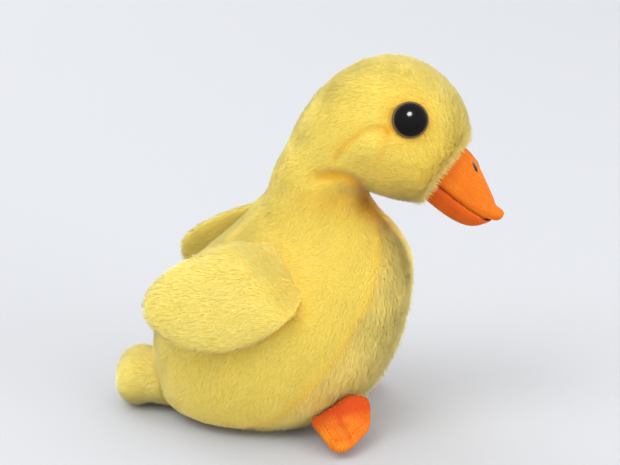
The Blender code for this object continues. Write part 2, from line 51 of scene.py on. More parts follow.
# ---- camera, floor and light
studio = {
    "azimuth": 10, "elevation": 17, "distance": 0.9, "aim": (0, 0, 0.083), "lens": 121.5,
    "sensor": 36, "nearest": 0.01, "lampsAim": (0, 0, 0.07),
    "floorColour": (0.505, 0.517, 0.542), "floorRoughness": 0.9, "floorSize": 4,
    "skyColour": (1.0, 1.0, 1.0), "skyStrength": 1.16,
    "keyPlace": (-1.3, -1.7, 2.7), "keySize": 2.4, "keyPower": 45,
    "fillPlace": (1.8, -1.1, 0.45), "fillSize": 1.6, "fillPower": 28,
    "rimPlace": (-1.5, 1.4, 1.5), "rimSize": 1.6, "rimPower": 13,
    "catchPlace": (0.35, -1.5, 1.75), "catchSize": 0.75, "catchPower": 130,
}


def link(obj):
    bpy.context.scene.collection.objects.link(obj)
    return obj


def finished(mesh, name):
    # an object in the scene with the built mesh
    data = bpy.data.meshes.new(name)
    mesh.to_mesh(data)
    mesh.free()
    return link(bpy.data.objects.new(name, data))


def aimAt(obj, place, target):
    obj.location = place
    obj.rotation_euler = (Vector(target) - Vector(place)).to_track_quat("-Z", "Y").to_euler()


def addCamera(s):
    a, e = math.radians(s["azimuth"]), math.radians(s["elevation"])
    back = Vector((math.sin(a) * math.cos(e), -math.cos(a) * math.cos(e), math.sin(e)))
    camera = link(bpy.data.objects.new("camera", bpy.data.cameras.new("camera")))
    camera.data.lens = s["lens"]
    camera.data.sensor_width = s["sensor"]
    camera.data.clip_start = s["nearest"]
    aimAt(camera, Vector(s["aim"]) + back * s["distance"], s["aim"])
    bpy.context.scene.camera = camera


def addLamp(name, s):
    # the catch light is seen only as a highlight, the others only as light
    lamp = bpy.data.lights.new(name + "Lamp", "AREA")
    lamp.shape, lamp.size, lamp.energy = "DISK", s[name + "Size"], s[name + "Power"]
    holder = link(bpy.data.objects.new(name + "Lamp", lamp))
    holder.visible_glossy, holder.visible_diffuse = name == "catch", name != "catch"
    aimAt(holder, s[name + "Place"], s["lampsAim"])


def setInputs(node, **values):
    # socket names with their spaces left out, so that SheenWeight means Sheen Weight
    sockets = {socket.name.replace(" ", ""): socket for socket in node.inputs}
    for name, value in values.items():
        sockets[name].default_value = value


def shaderOf(material):
    return material.node_tree.nodes["Principled BSDF"]


def plainMaterial(name, colour, roughness):
    material = bpy.data.materials.new(name)
    material.use_nodes = True
    shader = shaderOf(material)
    setInputs(shader, BaseColor=(*colour, 1), Roughness=roughness)
    return material, material.node_tree, shader


def addNode(tree, kind, **values):
    made = tree.nodes.new(kind)
    for key, value in values.items():
        setattr(made, key, value)
    return made


def addBump(tree, shader, height, strength, depth):
    bump = addNode(tree, "ShaderNodeBump")
    setInputs(bump, Strength=strength, Distance=depth)
    tree.links.new(height, bump.inputs["Height"])
    tree.links.new(bump.outputs["Normal"], shader.inputs["Normal"])


addCamera(studio)
bpy.context.scene.view_settings.view_transform = "Standard"
for lampName in ("key", "fill", "rim", "catch"):
    addLamp(lampName, studio)
world = bpy.data.worlds.new("studio")
world.use_nodes = True
sky = world.node_tree.nodes["Background"]
setInputs(sky, Color=(*studio["skyColour"], 1), Strength=studio["skyStrength"])
bpy.context.scene.world = world

floorMesh = bmesh.new()
bmesh.ops.create_grid(floorMesh, x_segments=1, y_segments=1, size=studio["floorSize"])
floor = finished(floorMesh, "floor")
floorPaper = plainMaterial("floorPaper", studio["floorColour"], studio["floorRoughness"])[0]
setInputs(shaderOf(floorPaper), SpecularIORLevel=0)
floor.data.materials.append(floorPaper)
print("camera, floor and light")


# ---- tones of the plush
plush = {
    "cloudScale": 55, "cloudDetail": 3, "chanceShare": 0.45,
    "grainScale": 900, "grainBump": 0.6, "grainDepth": 0.0006,
    "sheenRoughness": 0.6, "sheenTint": (1, 0.95, 0.7, 1), "specular": 0.15,
}


def pileToneGroup():
    # golden at the roots, lemon at the tips, each strand a little of its own, and painted shade that mixes in
    # the deep tone in folds and creases
    group = bpy.data.node_groups.new("pileTone", "ShaderNodeTree")
    for name in ("Deep", "Root", "Tip"):
        group.interface.new_socket(name, in_out="INPUT", socket_type="NodeSocketColor")
    for name in ("PaintedShade", "Along", "Chance", "Patches"):
        group.interface.new_socket(name, in_out="INPUT", socket_type="NodeSocketFloat")
    group.interface.new_socket("Tone", in_out="OUTPUT", socket_type="NodeSocketColor")
    start, end = group.nodes.new("NodeGroupInput"), group.nodes.new("NodeGroupOutput")
    place = group.nodes.new("ShaderNodeTexCoord")
    cloud = addNode(group, "ShaderNodeTexNoise")
    setInputs(cloud, Scale=plush["cloudScale"], Detail=plush["cloudDetail"])
    group.links.new(place.outputs["Object"], cloud.inputs["Vector"])
    # how far up the strand, with clouds and chance mixed in
    reach = addNode(group, "ShaderNodeMath", operation="MULTIPLY_ADD", use_clamp=True)
    group.links.new(start.outputs["Chance"], reach.inputs[0])
    reach.inputs[1].default_value = plush["chanceShare"]
    group.links.new(start.outputs["Along"], reach.inputs[2])
    patches = addNode(group, "ShaderNodeMath", operation="MULTIPLY")
    group.links.new(cloud.outputs["Fac"], patches.inputs[0])
    group.links.new(start.outputs["Patches"], patches.inputs[1])
    lift = addNode(group, "ShaderNodeMath", operation="SUBTRACT", use_clamp=True)
    group.links.new(reach.outputs[0], lift.inputs[0])
    group.links.new(patches.outputs[0], lift.inputs[1])
    rootToTip = addNode(group, "ShaderNodeMix", data_type="RGBA")
    group.links.new(lift.outputs[0], rootToTip.inputs["Factor"])
    group.links.new(start.outputs["Root"], rootToTip.inputs["A"])
    group.links.new(start.outputs["Tip"], rootToTip.inputs["B"])
    # painted shade: the tone turns towards Deep as far as the shade input asks
    shadeMix = addNode(group, "ShaderNodeMix", data_type="RGBA")
    group.links.new(start.outputs["PaintedShade"], shadeMix.inputs["Factor"])
    group.links.new(rootToTip.outputs["Result"], shadeMix.inputs["A"])
    group.links.new(start.outputs["Deep"], shadeMix.inputs["B"])
    group.links.new(shadeMix.outputs["Result"], end.inputs["Tone"])
    return group


pileTone = pileToneGroup()


def pileMaterial(name, tones, strand):
    material, tree, shader = plainMaterial(name, tones["tip"], tones["roughness"])
    tone = addNode(tree, "ShaderNodeGroup", node_tree=pileTone)
    for socket, key in (("Deep", "deep"), ("Root", "root"), ("Tip", "tip")):
        tone.inputs[socket].default_value = (*tones[key], 1)
    tone.inputs["Patches"].default_value = tones["patches"]
    # painted shade kept on the forms' vertices, which the strands carry too
    fold = addNode(tree, "ShaderNodeAttribute", attribute_name="fold")
    tree.links.new(fold.outputs["Fac"], tone.inputs["PaintedShade"])
    if strand:
        for name, socket in (("along", "Along"), ("luck", "Chance")):
            read = addNode(tree, "ShaderNodeAttribute", attribute_name=name)
            tree.links.new(read.outputs["Fac"], tone.inputs[socket])
    else:
        place = tree.nodes.new("ShaderNodeTexCoord")
        grain = addNode(tree, "ShaderNodeTexNoise")
        setInputs(grain, Scale=plush["grainScale"])
        tree.links.new(place.outputs["Object"], grain.inputs["Vector"])
        tree.links.new(grain.outputs["Fac"], tone.inputs["Chance"])
        addBump(tree, shader, grain.outputs["Fac"], plush["grainBump"], plush["grainDepth"])
    tree.links.new(tone.outputs["Tone"], shader.inputs["Base Color"])
    setInputs(shader, SheenWeight=tones["sheen"], SheenRoughness=plush["sheenRoughness"],
              SheenTint=plush["sheenTint"], SpecularIORLevel=plush["specular"])
    return material


# deep is the colour that painted shade turns the pile towards
lemonTones = {
    "deep": (0.93, 0.46, 0.012), "root": (0.95, 0.65, 0.05), "tip": (0.98, 0.82, 0.18),
    "patches": 0.24, "roughness": 0.75, "sheen": 0.4,
}
wingTones = dict(lemonTones, root=(0.93, 0.67, 0.07), tip=(0.97, 0.85, 0.25))
paleTones = {
    "deep": (0.90, 0.45, 0.02), "root": (0.97, 0.67, 0.08), "tip": (0.99, 0.82, 0.24),
    "patches": 0.26, "roughness": 0.75, "sheen": 0.4,
}
lemonCloth = pileMaterial("lemonBacking", lemonTones, False)
lemonPile = pileMaterial("lemonPile", lemonTones, True)
wingPile = pileMaterial("wingPile", wingTones, True)
palePile = pileMaterial("palePile", paleTones, True)


# ---- stuffed forms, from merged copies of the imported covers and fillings
def settled(obj):
    # the object's mesh with its modifiers applied
    graph = bpy.context.evaluated_depsgraph_get()
    mesh = bpy.data.meshes.new_from_object(obj.evaluated_get(graph))
    obj.modifiers.clear()
    obj.data = mesh
    return obj


def islandsOf(mesh):
    left, found = set(mesh.verts), []
    while left:
        island, edge = set(), [left.pop()]
        while edge:
            vertex = edge.pop()
            island.add(vertex)
            for spoke in vertex.link_edges:
                other = spoke.other_vert(vertex)
                if other in left:
                    left.discard(other)
                    edge.append(other)
        found.append(island)
    return found


def stuffedForm(name, nodes, cloth, voxel, rounds, inset=0, shape=None):
    # one closed skin over the nodes, with its rims smoothed away
    mesh = bmesh.new()
    for node in nodes:
        mesh.from_mesh(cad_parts[node].data)
    bmesh.ops.remove_doubles(mesh, verts=mesh.verts, dist=1e-6)
    form = finished(mesh, name)
    skin = form.modifiers.new("skin", "REMESH")
    skin.mode, skin.voxel_size = "VOXEL", voxel
    settled(form)
    mesh = bmesh.new()
    mesh.from_mesh(form.data)
    islands = sorted(islandsOf(mesh), key=len)
    bmesh.ops.delete(mesh, geom=[v for island in islands[:-1] for v in island], context="VERTS")
    smoothOut(mesh, mesh.verts, rounds)
    if shape:
        shape(mesh)
    mesh.normal_update()
    for vertex, step in [(v, v.normal * -inset) for v in mesh.verts]:
        vertex.co += step
    bmesh.ops.recalc_face_normals(mesh, faces=mesh.faces)
    mesh.to_mesh(form.data)
    mesh.free()
    form.data.materials.clear()
    form.data.materials.append(cloth)
    form.data.shade_smooth()
    return form


def smoothOut(mesh, verts, rounds):
    verts = list(verts)
    for turn in range(rounds):
        bmesh.ops.smooth_vert(
            mesh, verts=verts, factor=0.5, use_axis_x=True, use_axis_y=True, use_axis_z=True)


def near(distance, width):
    return math.exp(-((distance / width) ** 2))


def ease(value):
    value = max(0.0, min(1.0, value))
    return value * value * (3 - 2 * value)


def lineGap(place, line):
    # distance from a line of (x, z) points, seen from the side
    best = 1.0
    for (x0, z0), (x1, z1) in zip(line, line[1:]):
        dx, dz = x1 - x0, z1 - z0
        t = max(0, min(1, ((place.x - x0) * dx + (place.z - z0) * dz) / (dx * dx + dz * dz)))
        best = min(best, math.hypot(place.x - x0 - t * dx, place.z - z0 - t * dz))
    return best


forms = {
    "voxel": 0.0016, "rounds": 5, "inset": 0.0017, "limbVoxel": 0.0013, "limbInset": 0.0016,
    "napeRounds": 40, "throatRounds": 8, "napeAbove": 0.006, "napeReach": 0.017, "napeFront": 0.016,
    "napeLift": 0.0012, "napeWide": 0.010, "napeFade": 0.012, "faceAbove": 0.095,
    # seams and folds of the face as (x, z) points, seen from the side
    "jawLine": [(0.006, 0.1135), (0.0147, 0.1152), (0.019, 0.115), (0.0238, 0.1118), (0.0262, 0.103)],
    "cheekLine": [
        (0.0155, 0.1229), (0.0177, 0.1275), (0.0215, 0.1321),
        (0.0278, 0.1364), (0.034, 0.1376), (0.0374, 0.1366),
    ],
    "cheekEnd": [(0.0374, 0.1366), (0.0367, 0.130), (0.0342, 0.1237)],
    "grooveDepth": 0.0013, "jawWide": 0.0022, "cheekWide": 0.0018, "cheekShare": 0.6,
    "cheekMiddle": (0.0275, 0.1285), "cheekSize": (0.0105, 0.0078), "cheekRise": 0.0011,
    "billDent": 0.0020, "billDentFrom": 0.0125, "billDentFade": 0.007,
}
billRoot = Vector((0.0585, 0, 0.1145))
billAlong = Vector((0.809, 0, -0.588))
billRise = Vector((0.588, 0, 0.809))
neckWay = Vector((0.334, 0, 0.943)).normalized()
neckCentre = Vector((0.004, 0, 0.100))
bodyNodes = ["body_side_right", "body_side_left", "chest_belly_panel", "body_filling"]
neckNodes = ["neck_cover", "neck_filling"]
headNodes = ["head_side_right", "head_side_left", "head_filling"]
tailNodes = ["tail_top", "tail_underside", "tail_filling"]


def pastNeck(place):
    # how far a place lies above the neck's tilted middle plane
    return (place - neckCentre).dot(neckWay)


def shapeSkin(mesh):
    # the nape runs on in one slope, the throat keeps its fold, the cheek is a low patch
    ring = [v for v in mesh.verts if abs(pastNeck(v.co) - forms["napeAbove"]) < forms["napeReach"]]
    smoothOut(mesh, ring, forms["throatRounds"])
    smoothOut(mesh, [v for v in ring if v.co.x < forms["napeFront"]], forms["napeRounds"])
    mesh.normal_update()
    moves = []
    for vertex in mesh.verts:
        place = vertex.co
        nape = near(pastNeck(place) - forms["napeAbove"], forms["napeWide"])
        step = forms["napeLift"] * nape * ease((forms["napeFront"] - place.x) / forms["napeFade"])
        if place.z > forms["faceAbove"]:
            step -= forms["grooveDepth"] * near(lineGap(place, forms["jawLine"]), forms["jawWide"])
            cheek = lineGap(place, forms["cheekLine"])
            step -= forms["cheekShare"] * forms["grooveDepth"] * near(cheek, forms["cheekWide"])
            (middleX, middleZ), (sizeX, sizeZ) = forms["cheekMiddle"], forms["cheekSize"]
            patch = math.hypot((place.x - middleX) / sizeX, (place.z - middleZ) / sizeZ)
            step += forms["cheekRise"] * ease(1.25 - patch)
            toBill = (place - billRoot).length - forms["billDentFrom"]
            step -= forms["billDent"] * ease(1 - toBill / forms["billDentFade"])
        moves.append((vertex, vertex.normal * step))
    for vertex, step in moves:
        vertex.co += step


skinForm = stuffedForm(
    "skinForm", bodyNodes + neckNodes + headNodes, lemonCloth,
    forms["voxel"], forms["rounds"], forms["inset"], shapeSkin)
tailForm = stuffedForm("tailForm", tailNodes, lemonCloth, forms["limbVoxel"], forms["rounds"])
print("stuffed forms")


# ---- wings: the front end sinks into the shoulder, the rest stands off
wings = {
    "root": {"right": (-0.0045, -0.041578, 0.073298), "left": (-0.0088, 0.041578, 0.070798)},
    "rise": {"right": (0, 0.45399, 0.891007), "left": (0, -0.45399, 0.891007)},
    "forwardShare": 0.8, "riseShare": 0.6, "freeBelow": -0.011, "sunkAbove": 0.012,
    "buried": 0.0010, "innerDeeper": 0.0018, "innerSooner": 3, "innerFacing": 0.2,
    "nodes": {
        side: ["wing_%s_%s" % (side, piece) for piece in ("outer", "inner", "filling")]
        for side in ("right", "left")
    },
}


def sunkAmount(place, side):
    # 1 where the wing's upper front runs into the shoulder, 0 where it stands off
    gap = place - Vector(wings["root"][side])
    reach = wings["forwardShare"] * gap.x + wings["riseShare"] * gap.dot(Vector(wings["rise"][side]))
    return ease((reach - wings["freeBelow"]) / (wings["sunkAbove"] - wings["freeBelow"]))


def treeOf(obj):
    faces = [tuple(face.vertices) for face in obj.data.polygons]
    return BVHTree.FromPolygons([v.co for v in obj.data.vertices], faces)


skinTree = treeOf(skinForm)
wingForms = {}
for side in ("right", "left"):

    def sinkFront(mesh):
        # the inner panel sinks sooner and deeper than the outer one, so that they never cross
        mesh.normal_update()
        for vertex in mesh.verts:
            sunk = sunkAmount(vertex.co, side)
            spot, normal = skinTree.find_nearest(vertex.co)[:2]
            depth = wings["buried"]
            if vertex.normal.dot(normal) < wings["innerFacing"]:
                sunk, depth = ease(wings["innerSooner"] * sunk), depth + wings["innerDeeper"]
            height = (vertex.co - spot).dot(normal)
            if height > -depth:
                vertex.co -= normal * (sunk * (height + depth))

    wingForms[side] = stuffedForm(
        side + "WingForm", wings["nodes"][side], lemonCloth,
        forms["limbVoxel"], forms["rounds"], forms["limbInset"], sinkFront)
print("wings")


# ---- bill forms
bill = {
    "light": (0.80, 0.26, 0.012), "dark": (0.58, 0.10, 0.003),
    "lowerLight": (0.72, 0.16, 0.010), "lowerDark": (0.54, 0.062, 0.003),
    "voxel": 0.0007, "rounds": 4, "ribs": 260,
    "waistAt": 0.0262, "waistWide": 0.0018, "waistDepth": 0.0006,
    "rootBack": 0.0052, "rootEnd": 0.0065, "rootFade": 0.0040, "turn": (0, 0.9, 0),
    "mouthDrop": 0.0178 * 0.30, "mouthWay": (0.530, 0, 0.848), "mouthTone": 0.75, "mouthWide": 0.0013,
    "rootTone": 0.35, "rootAt": 0.002, "rootWide": 0.004,
}


def shapeBill(mesh):
    # the base runs on into the face, and the upper piece narrows before the nub at its tip
    mesh.normal_update()
    for vertex in mesh.verts:
        along = (vertex.co - billRoot).dot(billAlong)
        waist = near(along - bill["waistAt"], bill["waistWide"])
        vertex.co -= vertex.normal * (bill["waistDepth"] * waist * ease(2 * vertex.normal.z))
        vertex.co -= billAlong * (bill["rootBack"] * ease((bill["rootEnd"] - along) / bill["rootFade"]))


billParts = {"upperBill": ["upper_bill", "bill_filling"], "lowerBill": ["lower_bill"]}
upperBill, lowerBill = (
    stuffedForm(name, nodes, lemonCloth, bill["voxel"], bill["rounds"], 0, shapeBill)
    for name, nodes in billParts.items())


# ---- pile: how it lies, how long it is and how much shade is painted into its tone, kept on the forms
def joinedTree(objs):
    places, faces = [], []
    for obj in objs:
        first = len(places)
        places += [v.co.copy() for v in obj.data.vertices]
        faces += [tuple(first + i for i in p.vertices) for p in obj.data.polygons]
    return BVHTree.FromPolygons(places, faces)


shadeRays = {"count": 44, "reach": 0.028, "start": 0.0022, "lowest": 0.05, "farShare": 0.6}
everything = joinedTree([skinForm, tailForm, wingForms["right"], wingForms["left"], upperBill, lowerBill])


def spreadDirections(count):
    golden = math.pi * (3 - math.sqrt(5))
    found = []
    for i in range(count):
        z = 1 - 2 * (i + 0.5) / count
        ring = math.sqrt(1 - z * z)
        found.append(Vector((ring * math.cos(golden * i), ring * math.sin(golden * i), z)))
    return found


directions = spreadDirections(shadeRays["count"])


def foldDepth(place, normal):
    # share of the open half-space that other cloth closes off nearby
    closed = total = 0
    start = place + normal * shadeRays["start"]
    for direction in directions:
        facing = direction.dot(normal)
        if facing <= shadeRays["lowest"]:
            continue
        total += facing
        hit = everything.ray_cast(start, direction, shadeRays["reach"])
        if hit[0] is not None:
            closed += facing * (1 - shadeRays["farShare"] * hit[3] / shadeRays["reach"])
    return closed / total


def isInside(place, normal, others):
    # going outwards, the first wall met is one that is left, not entered
    for tree in others:
        hit = tree.ray_cast(place, normal)
        if hit[0] is not None and hit[1].dot(normal) > 0:
            return True
    return False


def swirl(direction, normal, place, scale, turn):
    angle = turn * noise.noise(place * scale)
    return (Matrix.Rotation(angle, 3, normal) @ direction).normalized()


grooming = {
    "underShare": 0.15, "underFrom": 0.1, "openShade": 0.17, "shadeShare": 2.2,
    "swirlScale": 90, "swirlTurn": 0.7, "insideFrom": 0.001,
}


def groom(form, coat, others):
    # keeps comb, tall, painted shade and pile on each vertex of a form
    mesh = form.data
    comb = np.zeros((len(mesh.vertices), 3), np.float32)
    tall, fold, pile = (np.zeros(len(mesh.vertices), np.float32) for i in range(3))
    for vertex in mesh.vertices:
        place, normal = vertex.co, vertex.normal
        if isInside(place + normal * grooming["insideFrom"], normal, others):
            continue
        way, length, deep, amount, shaded, flat = coat(place, normal)
        way = way - normal * way.dot(normal)
        way = way.normalized() if way.length > 1e-6 else normal.orthogonal().normalized()
        comb[vertex.index] = swirl(way, normal, place, grooming["swirlScale"], grooming["swirlTurn"]) * flat
        tall[vertex.index] = length
        # painted shade: darker where nearby cloth closes off the open space, on faces turned downwards, and
        # where each coat paints its own
        shade = max(0, foldDepth(place, normal) - grooming["openShade"])
        under = grooming["underShare"] * ease(-normal.z + grooming["underFrom"])
        fold[vertex.index] = min(1, deep + under + shaded * shade * grooming["shadeShare"])
        pile[vertex.index] = amount
    layer = mesh.attributes.new("comb", "FLOAT_VECTOR", "POINT")
    layer.data.foreach_set("vector", comb.ravel())
    for name, values in (("tall", tall), ("fold", fold), ("pile", pile)):
        layer = mesh.attributes.new(name, "FLOAT", "POINT")
        layer.data.foreach_set("value", values)


throat = Vector((0.0268, 0, 0.099))
eyeSpots = {"right": Vector((0.046143, -0.026646, 0.141323)), "left": Vector((0.046143, 0.026646, 0.141323))}
wingTrees = {side: treeOf(form) for side, form in wingForms.items()}

# how each part's pile lies, its length as a share of its coat's, and the shade painted into its tone
bodyPile = {
    "seamWide": 0.0022, "seamTone": 0.20, "seamShort": 0.45,
    "chestWay": (0.15, 0.8, -0.9), "chestTall": 1.15, "sideWay": (-0.55, 0, -0.85), "sideTall": 0.9,
    "shoulderReach": 0.026, "shoulderWay": (-1, 0, -0.25), "shoulderTone": 0.16,
    "lowBelow": 0.012, "lowShare": 0.5, "bareBelow": 0.0032, "bareFacing": -0.7,
    "footSpot": (0.026, 0.03, 0.014), "footReach": 0.014, "footShort": 0.5, "footTone": 0.35,
    "wingGap": 0.0012, "wingWide": 0.0022, "wingTone": 0.5,
    "bandAt": 0.1035, "bandWide": 0.0075, "bandBack": 0.012, "bandFade": 0.03, "bandTone": 0.42,
    "gatherReach": 0.013, "gatherTone": 0.45,
}


def sideSign(place):
    return 1 if place.y > 0 else -1


def chestSide(place):
    # below 0 on the chest and belly panel, above it on the side panels
    return (place - throat).dot(Vector((-0.4748, sideSign(place) * 0.7206, 0.5052)))


def bodyCoat(place, normal):
    b = bodyPile
    sign = sideSign(place)
    side = "left" if sign > 0 else "right"
    seam = chestSide(place)
    crease = near(seam, b["seamWide"])
    if seam < 0:
        x, y, z = b["chestWay"]
        way, length = Vector((x, sign * y, z)), b["chestTall"]
    else:
        way, length = Vector(b["sideWay"]), b["sideTall"]
    # over the wing's sunk front the pile runs back along the wing
    shoulder = near((place - Vector(wings["root"][side])).length, b["shoulderReach"])
    way = way.lerp(Vector(b["shoulderWay"]), shoulder)
    length *= 1 - b["seamShort"] * crease
    if place.z < b["lowBelow"]:
        length *= b["lowShare"] + (1 - b["lowShare"]) * max(0, place.z) / b["lowBelow"]
    amount = 0 if place.z < b["bareBelow"] and normal.z < b["bareFacing"] else 1
    x, y, z = b["footSpot"]
    foot = near((place - Vector((x, sign * y, z))).length, b["footReach"])
    length *= 1 - b["footShort"] * foot
    # painted shade along the wing's free edge, where it meets the flank
    wingGap = wingTrees[side].find_nearest(place)[3] - b["wingGap"]
    wingLine = near(wingGap, b["wingWide"]) * (1 - sunkAmount(place, side))
    band = near(place.z - b["bandAt"], b["bandWide"]) * ease((place.x + b["bandBack"]) / b["bandFade"])
    gather = near((place - throat).length, b["gatherReach"])
    # painted shade around the wing's root, at the neck band under the head, at the throat, near the foot and
    # under the wing's free edge; the chest seam is deeper in tone too
    deep = b["seamTone"] * crease + b["shoulderTone"] * shoulder + b["bandTone"] * band
    deep += b["gatherTone"] * gather + b["footTone"] * foot + b["wingTone"] * wingLine
    return way, length, deep, amount, 1, 1


headPile = {
    "backWay": (-0.8, 0, -0.6), "backFrom": 0.02, "backFade": 0.04, "tall": 0.8,
    "tuftTall": 0.7, "tuftFrom": 0.014, "tuftFade": 0.006, "baseFrom": 0.0135, "baseFade": 0.005,
    "eyeReach": 0.0105, "eyeEdge": 0.007, "eyeShare": 0.4,
    "eyeTone": 0.42, "eyeRing": 0.0085, "eyeWide": 0.0035,
    "cheekWide": 0.0017, "cheekTone": 0.45, "cheekEndWide": 0.0013, "cheekEndTone": 0.35,
    "jawWide": 0.0026, "jawBack": 0.002, "jawFade": 0.016, "jawTone": 0.85, "foldShort": 0.4,
    "underTone": 0.2, "billTone": 0.10, "billReach": 0.018, "throatTone": 0.45, "throatReach": 0.011,
}


def headCoat(place, normal):
    h = headPile
    eyeGap = min((place - spot).length for spot in eyeSpots.values())
    toBill = (place - billRoot).length
    # away from the bill, then back over the crown
    crown = ease((toBill - h["backFrom"]) / h["backFade"])
    way = (place - billRoot).normalized().lerp(Vector(h["backWay"]), crown)
    length = h["tall"] * (1 + h["tuftTall"] * ease(1 - (toBill - h["tuftFrom"]) / h["tuftFade"]))
    if eyeGap < h["eyeReach"]:
        rise = max(0, eyeGap - h["eyeEdge"]) / (h["eyeReach"] - h["eyeEdge"])
        length *= h["eyeShare"] + (1 - h["eyeShare"]) * rise
    cheek = near(lineGap(place, forms["cheekLine"]), h["cheekWide"])
    cheekEnd = near(lineGap(place, forms["cheekEnd"]), h["cheekEndWide"])
    jaw = near(lineGap(place, forms["jawLine"]), h["jawWide"]) * ease((place.x + h["jawBack"]) / h["jawFade"])
    length *= 1 - h["foldShort"] * max(cheek, jaw)
    amount = 0 if eyeGap < h["eyeEdge"] else 1
    # painted shade round the eye, in the cheek's and jaw's grooves, on faces turned downwards, round the
    # bill's base and at the throat
    deep = h["eyeTone"] * near(eyeGap - h["eyeRing"], h["eyeWide"])
    deep += h["cheekTone"] * cheek + h["cheekEndTone"] * cheekEnd + h["jawTone"] * jaw
    deep += h["underTone"] * ease(-1.5 * normal.z - 0.2) + h["billTone"] * near(toBill, h["billReach"])
    deep += h["throatTone"] * near((place - throat).length, h["throatReach"])
    # the last tufts turn round and lie over the bill's base
    base = ease(1 - (toBill - h["baseFrom"]) / h["baseFade"])
    return way, length, deep, amount, 1 - 0.8 * base, 1 - 1.8 * base


def skinCoat(place, normal):
    # the body's coat runs over into the head's across the neck
    share = ease((pastNeck(place) + 0.002) / 0.016)
    if share <= 0:
        return bodyCoat(place, normal)
    upper = headCoat(place, normal)
    if share >= 1:
        return upper
    lower = bodyCoat(place, normal)
    mixed = [a + (b - a) * share for a, b in zip(lower[1:], upper[1:])]
    return lower[0].lerp(upper[0], share), mixed[0], max(lower[2], upper[2]), *mixed[2:]


def tailCoat(place, normal):
    return Vector((-1, 0, -0.25)), 1.1, 0.0, 1, 1, 1


def wingCoat(place, normal):
    # the far wing takes no shade from nearby cloth, so that it stays as light as it can; shade is painted
    # where a wing's front sinks into the shoulder
    side = "right" if place.y < 0 else "left"
    sunk = sunkAmount(place, side)
    shaded = (1 if side == "right" else 0) * (1 - sunk)
    return Vector((-1, 0, -0.32)), 1 - 0.4 * sunk, 0.2 * sunk, 1, shaded, 1


others = [treeOf(upperBill), treeOf(lowerBill), treeOf(tailForm), wingTrees["right"], wingTrees["left"]]
groom(skinForm, skinCoat, others)
groom(tailForm, tailCoat, [skinTree])
for side in ("right", "left"):
    groom(wingForms[side], wingCoat, [skinTree])
print("pile groomed")


# ---- strands: a three-sided tapering blade, scattered over the forms and combed
def bladeObject(name):
    mesh = bmesh.new()
    bmesh.ops.create_cone(mesh, cap_ends=True, segments=3, radius1=1, radius2=0, depth=1)
    bmesh.ops.translate(mesh, vec=(0, 0, 0.5), verts=mesh.verts)
    bmesh.ops.remove_doubles(mesh, verts=mesh.verts, dist=1e-4)
    bmesh.ops.triangulate(mesh, faces=mesh.faces)
    data = bpy.data.meshes.new(name)
    mesh.to_mesh(data)
    mesh.free()
    data.shade_smooth()
    shape = data.attributes.new("shape", "FLOAT_VECTOR", "POINT")
    shape.data.foreach_set("vector", np.array([v.co for v in data.vertices], np.float32).ravel())
    return bpy.data.objects.new(name, data)


def scatterTree(blade, density, seed):
    tree = bpy.data.node_groups.new("scatterPile", "GeometryNodeTree")
    tree.interface.new_socket("Geometry", in_out="INPUT", socket_type="NodeSocketGeometry")
    tree.interface.new_socket("Geometry", in_out="OUTPUT", socket_type="NodeSocketGeometry")
    start, end = tree.nodes.new("NodeGroupInput"), tree.nodes.new("NodeGroupOutput")
    pile = addNode(tree, "GeometryNodeInputNamedAttribute", data_type="FLOAT")
    setInputs(pile, Name="pile")
    amount = addNode(tree, "ShaderNodeMath", operation="MULTIPLY")
    amount.inputs[1].default_value = density
    tree.links.new(pile.outputs["Attribute"], amount.inputs[0])
    points = addNode(tree, "GeometryNodeDistributePointsOnFaces", distribute_method="RANDOM")
    setInputs(points, Seed=seed)
    tree.links.new(start.outputs[0], points.inputs["Mesh"])
    tree.links.new(amount.outputs[0], points.inputs["Density"])
    place = tree.nodes.new("GeometryNodeInputPosition")
    chance = addNode(tree, "FunctionNodeRandomValue", data_type="FLOAT_VECTOR")
    chance.inputs["Seed"].default_value = seed + 50
    flow = points.outputs["Points"]
    kept = {"root": place.outputs[0], "outward": points.outputs["Normal"], "chance": chance.outputs[0]}
    for name, value in kept.items():
        keep = addNode(tree, "GeometryNodeStoreNamedAttribute", data_type="FLOAT_VECTOR", domain="POINT")
        setInputs(keep, Name=name)
        tree.links.new(flow, keep.inputs["Geometry"])
        tree.links.new(value, keep.inputs["Value"])
        flow = keep.outputs[0]
    info = addNode(tree, "GeometryNodeObjectInfo")
    setInputs(info, Object=blade)
    spread = tree.nodes.new("GeometryNodeInstanceOnPoints")
    tree.links.new(flow, spread.inputs["Points"])
    tree.links.new(info.outputs["Geometry"], spread.inputs["Instance"])
    real = tree.nodes.new("GeometryNodeRealizeInstances")
    tree.links.new(spread.outputs[0], real.inputs[0])
    tree.links.new(real.outputs[0], end.inputs[0])
    return tree


def readLayer(mesh, name, width):
    values = np.empty(len(mesh.vertices) * width, np.float32)
    mesh.attributes[name].data.foreach_get("vector" if width == 3 else "value", values)
    return values.reshape(-1, 3) if width == 3 else values


def unit(rows):
    return rows / np.maximum(np.linalg.norm(rows, axis=1, keepdims=True), 1e-9)


